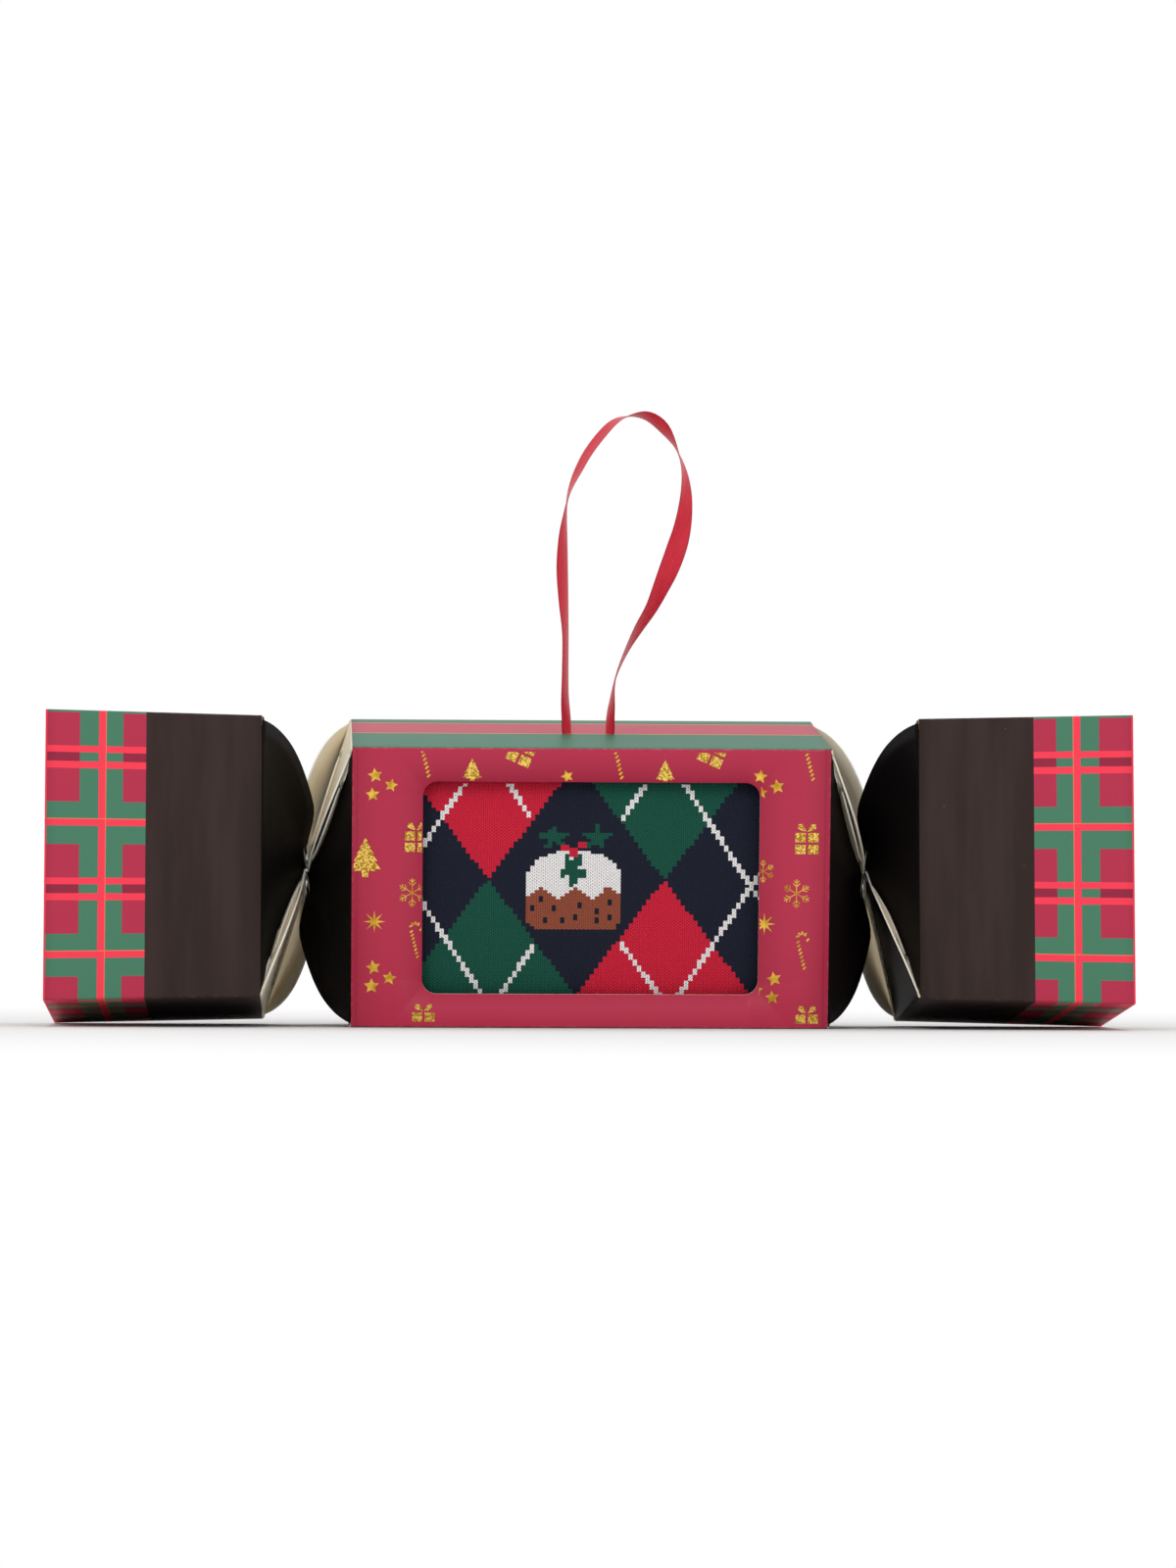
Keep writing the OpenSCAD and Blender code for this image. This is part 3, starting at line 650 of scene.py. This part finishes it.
for side, quarter in (("front", 1), ("back", 3)):
    mesh = bmesh.new()
    for x, up, size in BURSTS:
        star(mesh, x, up, size, 0, BURST_POINTS, BURST_WAIST)
    for draw, x, up, size, turn in smooth:
        draw(mesh, x, up, size, turn)
    smooth_leaf = len(mesh.faces)
    for draw, x, up, size, turn in glittered:
        draw(mesh, x, up, size, turn)
    for face in list(mesh.faces)[smooth_leaf:]:
        face.material_index = 1
    if side == "back":
        bmesh.ops.rotate(mesh, cent=(0, 0, 0), matrix=Matrix.Rotation(pi, 3, "Z"), verts=mesh.verts)
    cut_round(mesh, FOIL_HALF_L, FOIL_LOW, FOIL_HIGH, True)
    if side == "front":
        bare_x, bare_z = WINDOW_X + WINDOW_MARGIN, WINDOW_Z + WINDOW_MARGIN
        cut_round(mesh, bare_x, bare_z, bare_z, False)
        in_window = [face for face in mesh.faces
                     if abs(face.calc_center_median().x) < bare_x
                     and abs(face.calc_center_median().y) < bare_z]
        bmesh.ops.delete(mesh, geom=in_window, context="FACES")
    bmesh.ops.translate(mesh, vec=(0, 0, HALF + FOIL_LIFT), verts=mesh.verts)
    bmesh.ops.recalc_face_normals(mesh, faces=mesh.faces)
    down = [face for face in mesh.faces if face.normal.z < 0]
    bmesh.ops.reverse_faces(mesh, faces=down)
    bmesh.ops.transform(mesh, verts=mesh.verts,
                        matrix=body_place @ Matrix.Rotation(quarter * pi / 2, 4, "X"))
    name = f"{side}_foil_pictures"
    foil = bpy.data.objects.new(name, bpy.data.meshes.new(name))
    mesh.to_mesh(foil.data)
    mesh.free()
    studio.collection.objects.link(foil)
    foil.data.materials.append(gold_leaf)
    foil.data.materials.append(glitter_leaf)
    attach(foil, "carton_body")

# The necks: each side of the body goes on as a strap with two round cut-outs, which
# turns in at the fold and doubles over a diagonal crease on its way to the end tube.
NECK_GAP = 0.025
TWIST = radians(77.2)
STRAP_L = sqrt(NECK_GAP ** 2 + (2 * HALF) ** 2 * sin(TWIST))
WAIST_W = 0.0125
WAIST_H = STRAP_L / 2 - 0.0003
# The shares of a petal's rays that end on the waist, on its main side and on its fin, and
# the share of the strap's length over which the waist draws it in to the axis.
WAIST_SHARE, FIN_WAIST_SHARE = 0.08, 0.16
PINCH_SHARE = 0.28
RIM_R = 0.050
CREASE = atan2(STRAP_L, 2 * HALF)
CORNER_R = 0.0006
FOLD_CLEARANCE = 0.0003
CORNER_INSET = 0.0014
BULGE = {"front": 0.0045, "back": 0.0045, "top": 0.0008, "bottom": 0.0008}
FIN_BULGE = 0.0008
BOW = 0.0008
FIN_RIM_SHARE = 0.92
# The share of its full width that each fin keeps from FIN_OPENS_AT on.
FIN_SHARE = {
    ("left", "body"): 0.8, ("left", "end"): 0.5,
    ("right", "body"): 0.75, ("right", "end"): 0.2,
}
HIDDEN_FIN_SHARE = 0.2
FIN_OPENS_AT = 0.012
# The round rim runs from near the fold's corner to the waist's corner.
rim_start = Vector((2 * HALF - CORNER_INSET, FOLD_CLEARANCE))
rim_end = Vector((HALF + WAIST_W / 2, WAIST_H))
chord = rim_end - rim_start
rim_centre = (rim_start + rim_end) / 2 + Vector((-chord.y, chord.x)).normalized() * sqrt(
    RIM_R ** 2 - chord.length_squared / 4)
rim_from = atan2(rim_start.y - rim_centre.y, rim_start.x - rim_centre.x)
rim_to = atan2(rim_end.y - rim_centre.y, rim_end.x - rim_centre.x)


def soft_step(share):
    """0 at 0 or less, 1 at 1 or more, and level at both ends."""
    share = min(1.0, max(0.0, share))
    return share * share * (3 - 2 * share)


def standoff(across, along, bulge):
    """How far a strap's face stands off its flat facet: its rim bulges over the neck's middle
    beside the waist, and its crease bows away from it. The bare numbers are shares."""
    over = along + across - 0.5
    rim = 0.0
    if over > 0:
        near = soft_step(1 - abs(along - 0.5) / (1.3 * over))
        rim = bulge * near * soft_step((over - 0.06) / 0.16)
    reach = (1 if along < 0.5 else 2) * min(1, across / 0.3)
    return rim - BOW * sin(2 * pi * along) * (1 - reach)


def folded(s, t, p0, p1, q0, q1, bulge):
    """A flat point of the strap, s along the fold and t away from it, on its folded faces.
    Its fold runs from p0 to p1, its crease from p0 to q0, and its far end from q0 to q1."""
    u, v = s / (2 * HALF), t / STRAP_L
    across = u - v
    out = Vector((1 if q0.x > p0.x else -1, 0, 0))
    middle = (p0 + q0) / 2
    inward = Vector((middle.x, 0, AXIS_H)) - middle
    pinched = inward * max(0.0, 1 - abs(v - 0.5) / PINCH_SHARE) ** 2
    if across >= 0:
        facet = (1 - u) * p0 + across * p1 + v * q0
        return facet + out * standoff(across, v, bulge) + pinched
    facet = (1 - v) * p0 + u * q0 - across * q1
    return facet - out * standoff(-across, 1 - v, FIN_BULGE) + pinched


def rim_of(ray):
    """The outline's point at the end of a ray from the corner: ray 0 is the fold, 0.5 the crease."""
    share = abs(ray - 0.5) / 0.5
    flat = FIN_WAIST_SHARE if ray > 0.5 else WAIST_SHARE
    if share <= flat:
        offset, height = WAIST_W / 2 * share / flat, WAIST_H
    else:
        sweep = (rim_from - rim_to) * (FIN_RIM_SHARE if ray > 0.5 else 1)
        turn = rim_to + sweep * (share - flat) / (1 - flat)
        offset = rim_centre.x + RIM_R * cos(turn) - HALF
        height = rim_centre.y + RIM_R * sin(turn)
    return HALF + offset * (1 if ray < 0.5 else -1), height


def petal(p0, p1, q0, q1, bulge, fin_share):
    """Half a strap, as a sheet of rays from the corner where its fold and crease meet."""
    mesh = bmesh.new()
    bmesh.ops.create_grid(mesh, x_segments=50, y_segments=18, size=0.5)
    uv = mesh.loops.layers.uv.new("print")
    flat_at = {}
    for v in mesh.verts:
        ray, share = v.co.x + 0.5, v.co.y + 0.5
        rim = rim_of(ray)
        if ray <= 0.5:
            turn = CREASE * ray / 0.5
        else:
            turn = CREASE + (pi / 2 - CREASE) * (ray - 0.5) / 0.5
        start = (CORNER_R * cos(turn), CORNER_R * sin(turn))
        s = start[0] + (rim[0] - start[0]) * share
        t = start[1] + (rim[1] - start[1]) * share
        if ray > 0.5:
            on_crease = t * 2 * HALF / STRAP_L
            s = on_crease + (s - on_crease) * fin_share * min(1, t / FIN_OPENS_AT)
        flat_at[v] = (s, t)
        v.co = folded(s, t, p0, p1, q0, q1, bulge)
    on_fold = {v for v, (s, t) in flat_at.items() if t < FOLD_CLEARANCE + 0.00001}
    for face in mesh.faces:
        face.smooth = True
        if any(on_fold.issuperset(e.verts) for e in face.edges):
            face.material_index = FOLDED_OVER
        for loop in face.loops:
            loop[uv].uv = flat_at[loop.vert]
    return mesh


def ring_point(x, corner, turn):
    """A corner of the square tube at this X, turned about the long axis."""
    angle = pi / 4 + corner * pi / 2 + turn
    return Vector((x, HALF * sqrt(2) * cos(angle), AXIS_H + HALF * sqrt(2) * sin(angle)))


WAIST_SHADE_FROM, WAIST_SHADE_FADE = 0.034, 0.003
CREASE_FADE = 0.004
petal_prints = {}
for name, shine in (("black_and_gold", 0.04), ("black", 0.04), ("gold", 0.2)):
    made, shader, tone, along, out = laminate(name + "_petal", 0.45, shine)
    clouds = tone.node("TexNoise", {0: tone.node("TexCoord", out="Object"), "Scale": 14.0})
    base = clouds.ramp(0.3, 0.7).over(paint("#0b0909"), paint("#171211"))
    if name != "black":
        pale_gold = clouds.ramp(0.3, 0.7).over(paint("#f3e6cb"), paint("#ece0bd"))
        # Over the last few millimetres before the waist the gold is painted black: painted shade deep
        # in the twist.
        dark = out.ramp(WAIST_SHADE_FROM, WAIST_SHADE_FROM + WAIST_SHADE_FADE)
        if name == "black_and_gold":
            main_side = along / (2 * HALF) - out / STRAP_L
            dark = dark | main_side.ramp(-CREASE_FADE, CREASE_FADE)
        base = dark.over(pale_gold, base)
    base.into(shader, "Base Color")
    petal_prints[name] = made
# The straps' main facets are black and their fins gold, but for these.
PRINTED = {
    ("left", "body", "top"): "gold", ("left", "end", "bottom"): "gold",
    ("right", "end", "front"): "black",
}
body_corners = [ring_point(-BODY_HALF_L, k, BODY_LEAN) for k in range(4)]
end_corners = [ring_point(-BODY_HALF_L - NECK_GAP, k, BODY_LEAN + TWIST) for k in range(4)]
for hand, x_sign in (("left", -1), ("right", 1)):
    for k, side in enumerate(("top", "front", "bottom", "back")):
        for root in ("body", "end"):
            node = f"{hand}_{root}_petal_{side}"
            if root == "body":
                corners = body_corners[k], body_corners[k - 3], end_corners[k - 3], end_corners[k]
            else:
                corners = end_corners[k], end_corners[k - 1], body_corners[k - 1], body_corners[k]
            fin_share = HIDDEN_FIN_SHARE if side in ("top", "bottom") else FIN_SHARE[hand, root]
            mesh = petal(*corners, BULGE[side], fin_share)
            facing = sum(face.normal.x * face.calc_area() for face in mesh.faces)
            outward = -1 if root == "body" else 1
            if facing * outward < 0:
                bmesh.ops.reverse_faces(mesh, faces=mesh.faces)
            if hand == "right":
                bmesh.ops.scale(mesh, vec=(-1, 1, 1), verts=mesh.verts)
                bmesh.ops.reverse_faces(mesh, faces=mesh.faces)
            petal_print = petal_prints[PRINTED.get((hand, root, side), "black_and_gold")]
            made = finish_card(mesh, f"{node}_card", (petal_print, card_inside, card_edge), None,
                               node, "black_gold_card")
            if root == "body":
                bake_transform(made)
            else:
                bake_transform(made)

# The end tubes: the same card, flaring a little to an open mouth, with a woven
# check printed round the mouth on a dark brown ground.
END_L = 0.0595
FLARE = 0.00125
END_LEAN = radians(-5.268078)
end_place = Matrix.Translation((0, 0, AXIS_H)) @ Matrix.Rotation(END_LEAN, 4, "X")
end_print, shader, tone, inward, round_mouth = laminate("checked_end_print", 0.5, 0.05)
place = tone.node("TexCoord", out="Object")
stretched = tone.node("Mapping", {0: place, 3: (160, 160, 12)})
streaks = tone.node("TexNoise", {0: stretched, "Scale": 1.0, "Detail": 3.0})
umber = streaks.ramp(0.3, 0.7).over(paint("#352a28"), paint("#3e322f"))
dust = tone.node("TexVoronoi", {0: place, "Scale": 130.0, "Randomness": 1.0})
umber = dust.ramp(0.02, 0.03, 0.3, 0.0).over(umber, paint("#9c8f86"))
# The check: its columns are measured from the mouth inward, and its rows round the tube
# within one repeat.
REPEAT, REPEAT_FROM = 0.0356, 0.0007
GREEN_COLUMN, RED_COLUMN, ORANGE_COLUMN = (0.0095, 0.0214), (0.0147, 0.0166), (0.0166, 0.0168)
GREEN_ROW, DEEP_ROW, ORANGE_ROW = (0.0241, REPEAT), (0.0108, 0.0132), (0.0286, 0.0288)
RED_ROWS = [(0.0090, 0.0108), (0.0132, 0.0151), (0.0288, 0.0306)]
HEM, CHECK_TO = 0.0005, 0.0277
THREAD = 0.0006
row = (round_mouth - REPEAT_FROM) % REPEAT
green_column = inward.band(*GREEN_COLUMN)
check = (green_column | row.band(*GREEN_ROW)).over(paint("#bd3953"), paint("#4f8469"))
check = (row.band(*DEEP_ROW) * (1 - green_column)).over(check, paint("#9a3047"))
weft = ((inward + round_mouth) * (2 * pi / THREAD)).maths("SINE") * 0.5 + 0.5
check = (weft * 0.12).over(check, paint("#20242a"))
red = inward.band(*RED_COLUMN)
for stripe in RED_ROWS:
    red = red | row.band(*stripe)
check = red.over(check, paint("#fb4459"))
orange = inward.band(*ORANGE_COLUMN) | row.band(*ORANGE_ROW)
check = orange.over(check, paint("#f0855a"))
check = inward.ramp(HEM - PRINT_SOFT, HEM + PRINT_SOFT, 1.0, 0.0).over(check, paint("#fb4459"))
base = inward.ramp(CHECK_TO - PRINT_SOFT, CHECK_TO + PRINT_SOFT).over(check, umber)
fold = abs(((round_mouth + HALF) % (2 * HALF)) - HALF)
worn_fold(base, fold, 0.0007, 0.07).into(shader, "Base Color")
end_from, end_to = BODY_HALF_L + NECK_GAP, BODY_HALF_L + NECK_GAP + END_L
for hand in ("left", "right"):
    for quarter, side in enumerate(("top", "front", "bottom", "back")):
        mesh = flat_side(end_from, end_to, 14)
        round_long_folds(mesh)
        fold_at(mesh, end_from)
        uv = mesh.loops.layers.uv.new("print")
        for face in mesh.faces:
            face.smooth = True
            for loop in face.loops:
                around = (HALF - girth(loop.vert.co)) + 2 * HALF * (quarter - 1)
                loop[uv].uv = (end_to - loop.vert.co.x, around)
        for v in mesh.verts:
            widen = 1 + FLARE / HALF * (v.co.x - end_from) / END_L
            v.co.y, v.co.z = v.co.y * widen, v.co.z * widen
        if hand == "left":
            bmesh.ops.scale(mesh, vec=(-1, 1, 1), verts=mesh.verts)
            bmesh.ops.reverse_faces(mesh, faces=mesh.faces)
        bmesh.ops.transform(mesh, verts=mesh.verts,
                            matrix=end_place @ Matrix.Rotation(quarter * pi / 2, 4, "X"))
        finish_card(mesh, f"{hand}_end_{side}_card", (end_print, card_inside, card_edge),
                    f"{hand}_end", f"{hand}_end_{side}_panel", "tartan_card")

# The socks: a pair of fine-gauge knitted socks folded in three, the front one with
# a diamond pattern and a pudding knitted in, both cushioned behind the window.
WALE = 0.00119
COURSE = 0.00084
SOCK_HALF_T = 0.015
PRESSED_SHARE = 0.3
SEAM = 1e-5
knit, shader, tone = finish("diamond_knit", Roughness=0.85, Specular_IOR_Level=0.15, Sheen_Weight=0.06)
print_uv = tone.node("UVMap", uv_map="knit")
flat = tone.node("SeparateXYZ", {0: print_uv})
# The middle of each stitch, in millimetres from the body's middle.
x = ((flat / WALE).maths("FLOOR") + 0.5) * (WALE * 1000)
z = ((flat.other("Y") / COURSE).maths("FLOOR") + 0.5) * (COURSE * 1000)
NAVY, RED, GREEN = paint("#1b2031"), paint("#dd233f"), paint("#165746")
CREAM, SPONGE = paint("#fbf9f7"), paint("#9c523b")
DIAMOND_H = 34.0
DIAMOND_W = DIAMOND_H / 1.33
MIDDLE_DIAMOND = (-4.0, 2.1, 24.4, DIAMOND_H)
DIAMONDS = [
    (-28.4, 2.2 + DIAMOND_H, RED), (-28.4, 2.2 - DIAMOND_H, GREEN),
    (20.4, 2.1 + DIAMOND_H, GREEN), (20.4, 2.1 - DIAMOND_H, RED),
]
STITCH_LINE_HALF = 0.75
STITCH_LINES = [
    (-35.1, 28.5, -49.0, 7.4), (-22.9, 28.6, -4.3, 0.6), (-48.0, -2.3, -27.3, -34.0),
    (-5.5, -1.4, -27.3, -34.0), (15.0, 28.5, -4.3, -0.6), (25.9, 28.6, 47.0, -3.6),
    (47.0, 4.1, 22.3, -34.0), (-4.3, 1.2, 22.3, -34.0),
]
# The pudding: half an oval over straight sides with cut lower corners, and a poured top
# whose edge is a wave.
PUDDING_X, PUDDING_FOOT, PUDDING_SIDES_TO, PUDDING_CUT = -4.5, -11.4, 2.4, 22.6
DOME_HALF_W, DOME_H = 13.19, 7.81
SAUCE_X, SAUCE_Z, SAUCE_WAVE, SAUCE_DEPTH = -4.3, -1.6, 9.3, 1.4
PLUM_HALF = (0.6, 0.84)
PLUMS = [
    (-13.3, -3.4), (-15.5, -6.2), (-9.7, -6.0), (-2.6, -4.8), (5.4, -4.0), (2.0, -6.8),
    (-4.0, -8.4), (-12.0, -8.9), (-7.2, -9.6), (1.2, -9.4), (5.4, -8.6),
]
# Each holly leaf's middle, half length, half width and turn.
LEAVES = [
    (-10.2, 13.8, 4.0, 3.4, 0.4), (1.6, 13.8, 4.0, 3.4, 2.74), (-4.9, 4.9, 4.1, 5.2, -1.57),
]
LEAF_LOBES, LOBE_DEPTH, LEAF_RIM = 5, 0.3, 0.72
BERRY_HALF = (1.15, 0.9)
BERRIES = [(-7.2, 11.2), (-2.8, 12.0), (-4.9, 9.6)]


def below(value, limit):
    """1 where the value doesn't pass the limit, and 0 elsewhere."""
    return 1 - value.maths("GREATER_THAN", limit)


def diamond(cx, cz, half_w, half_h):
    """1 inside a diamond of that centre and half size."""
    return below(abs(x - cx) / half_w + abs(z - cz) / half_h, 1.0)


def stitch_line(x0, z0, x1, z1):
    """1 on a line of one or two stitches across that joins two points."""
    slope = (z1 - z0) / (x1 - x0)
    off = abs((z - z0) / slope + x0 - x)
    return below(off, STITCH_LINE_HALF) * z.band(min(z0, z1), max(z0, z1), 0.2)


def spot(cx, cz, half_w, half_h):
    """1 on the stitches of a small block of that centre and half size."""
    return below(abs(x - cx) / half_w | abs(z - cz) / half_h, 1.0)


base = tone.node("RGB")
base.socket.default_value = NAVY
for cx, cz, yarn in DIAMONDS:
    base = diamond(cx, cz, DIAMOND_W, DIAMOND_H).over(base, yarn)
lines = stitch_line(*STITCH_LINES[0])
for ends in STITCH_LINES[1:]:
    lines = lines | stitch_line(*ends)
base = (lines * (1 - diamond(*MIDDLE_DIAMOND))).over(base, CREAM)
from_middle = abs(x - PUDDING_X)
over_sides = z.maths("MAXIMUM", PUDDING_SIDES_TO) - PUDDING_SIDES_TO
wide, high = from_middle / DOME_HALF_W, over_sides / DOME_H
pudding = below(wide * wide + high * high, 1.0) * below(from_middle - z, PUDDING_CUT)
pudding = pudding * z.maths("GREATER_THAN", PUDDING_FOOT)
wave = ((x - SAUCE_X) * (2 * pi / SAUCE_WAVE)).maths("COSINE")
sauce = z.maths("GREATER_THAN", SAUCE_DEPTH * wave + SAUCE_Z)
base = pudding.over(base, SPONGE)
base = (pudding * sauce).over(base, CREAM)
for centre in PLUMS:
    base = spot(*centre, *PLUM_HALF).over(base, NAVY)
for cx, cz, half_l, half_w, turn in LEAVES:
    leaf_x, leaf_z = (x - cx) / half_l, (z - cz) / half_w
    around = leaf_z.maths("ARCTAN2", leaf_x) - turn
    from_centre = (leaf_x * leaf_x + leaf_z * leaf_z).maths("SQRT")
    lobes = (around * LEAF_LOBES).maths("COSINE")
    base = below(from_centre - lobes * LOBE_DEPTH, LEAF_RIM).over(base, GREEN)
for centre in BERRIES:
    base = spot(*centre, *BERRY_HALF).over(base, RED)
# One stitch is a V: two legs that lean in towards the bottom of its course.
leg = abs((flat / WALE) % 1.0 - 0.5) * 2
drop = ((flat.other("Y") / COURSE) - leg * 0.75) % 1.0
loop_body = (drop * pi).maths("SINE")
legs = (leg * pi).maths("SINE")
height = loop_body * 0.55 + legs * 0.45
fuzz = tone.node("TexNoise", {0: tone.node("TexCoord", out="Object"), "Scale": 3000.0, "Detail": 3.0})
# The knit is painted darker where its stitch relief is low, with some random fuzz: painted shade
# between the stitches.
shade = (height * 0.75 + fuzz * 0.35).ramp(0.25, 0.75, 0.15, 1.0)
dark = tone.node("Mix", {0: 1.0, 6: base, 7: (0.25, 0.25, 0.28, 1)}, out=2, data_type="RGBA",
                 blend_type="MULTIPLY")
shade.over(dark, base).into(shader, "Base Color")
relief = {"Height": height + fuzz * 0.3, "Strength": 0.8, "Distance": 0.00035}
tone.node("Bump", relief).into(shader, "Normal")
for node in ("sock_front", "sock_rear"):
    mesh = bmesh.new()
    mesh.from_mesh(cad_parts[node].data)
    bmesh.ops.remove_doubles(mesh, verts=mesh.verts, dist=SEAM)
    uv = mesh.loops.layers.uv.new("knit")
    back = body_place.inverted()
    # The window's panel presses the pair flat in front, and the seam keeps its place.
    front = min((back @ v.co).y for v in mesh.verts)
    for v in mesh.verts:
        level = back @ v.co
        depth = level.y - front
        if depth < SOCK_HALF_T:
            pressed = PRESSED_SHARE + (1 - PRESSED_SHARE) * (depth / SOCK_HALF_T) ** 2
            level.y = front + depth * pressed
            v.co = body_place @ level
    for face in mesh.faces:
        face.smooth = True
        for loop in face.loops:
            level = back @ loop.vert.co
            loop[uv].uv = (level.x, level.z)
    sock = bpy.data.objects.new(f"knitted_{node}", bpy.data.meshes.new(f"knitted_{node}"))
    mesh.to_mesh(sock.data)
    mesh.free()
    studio.collection.objects.link(sock)
    sock.data.materials.append(knit)
    soft = sock.modifiers.new("soft", "SUBSURF")
    soft.levels = soft.render_levels = 2
    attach(sock, "carton_body")
    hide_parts(node)

bpy.context.view_layer.update()
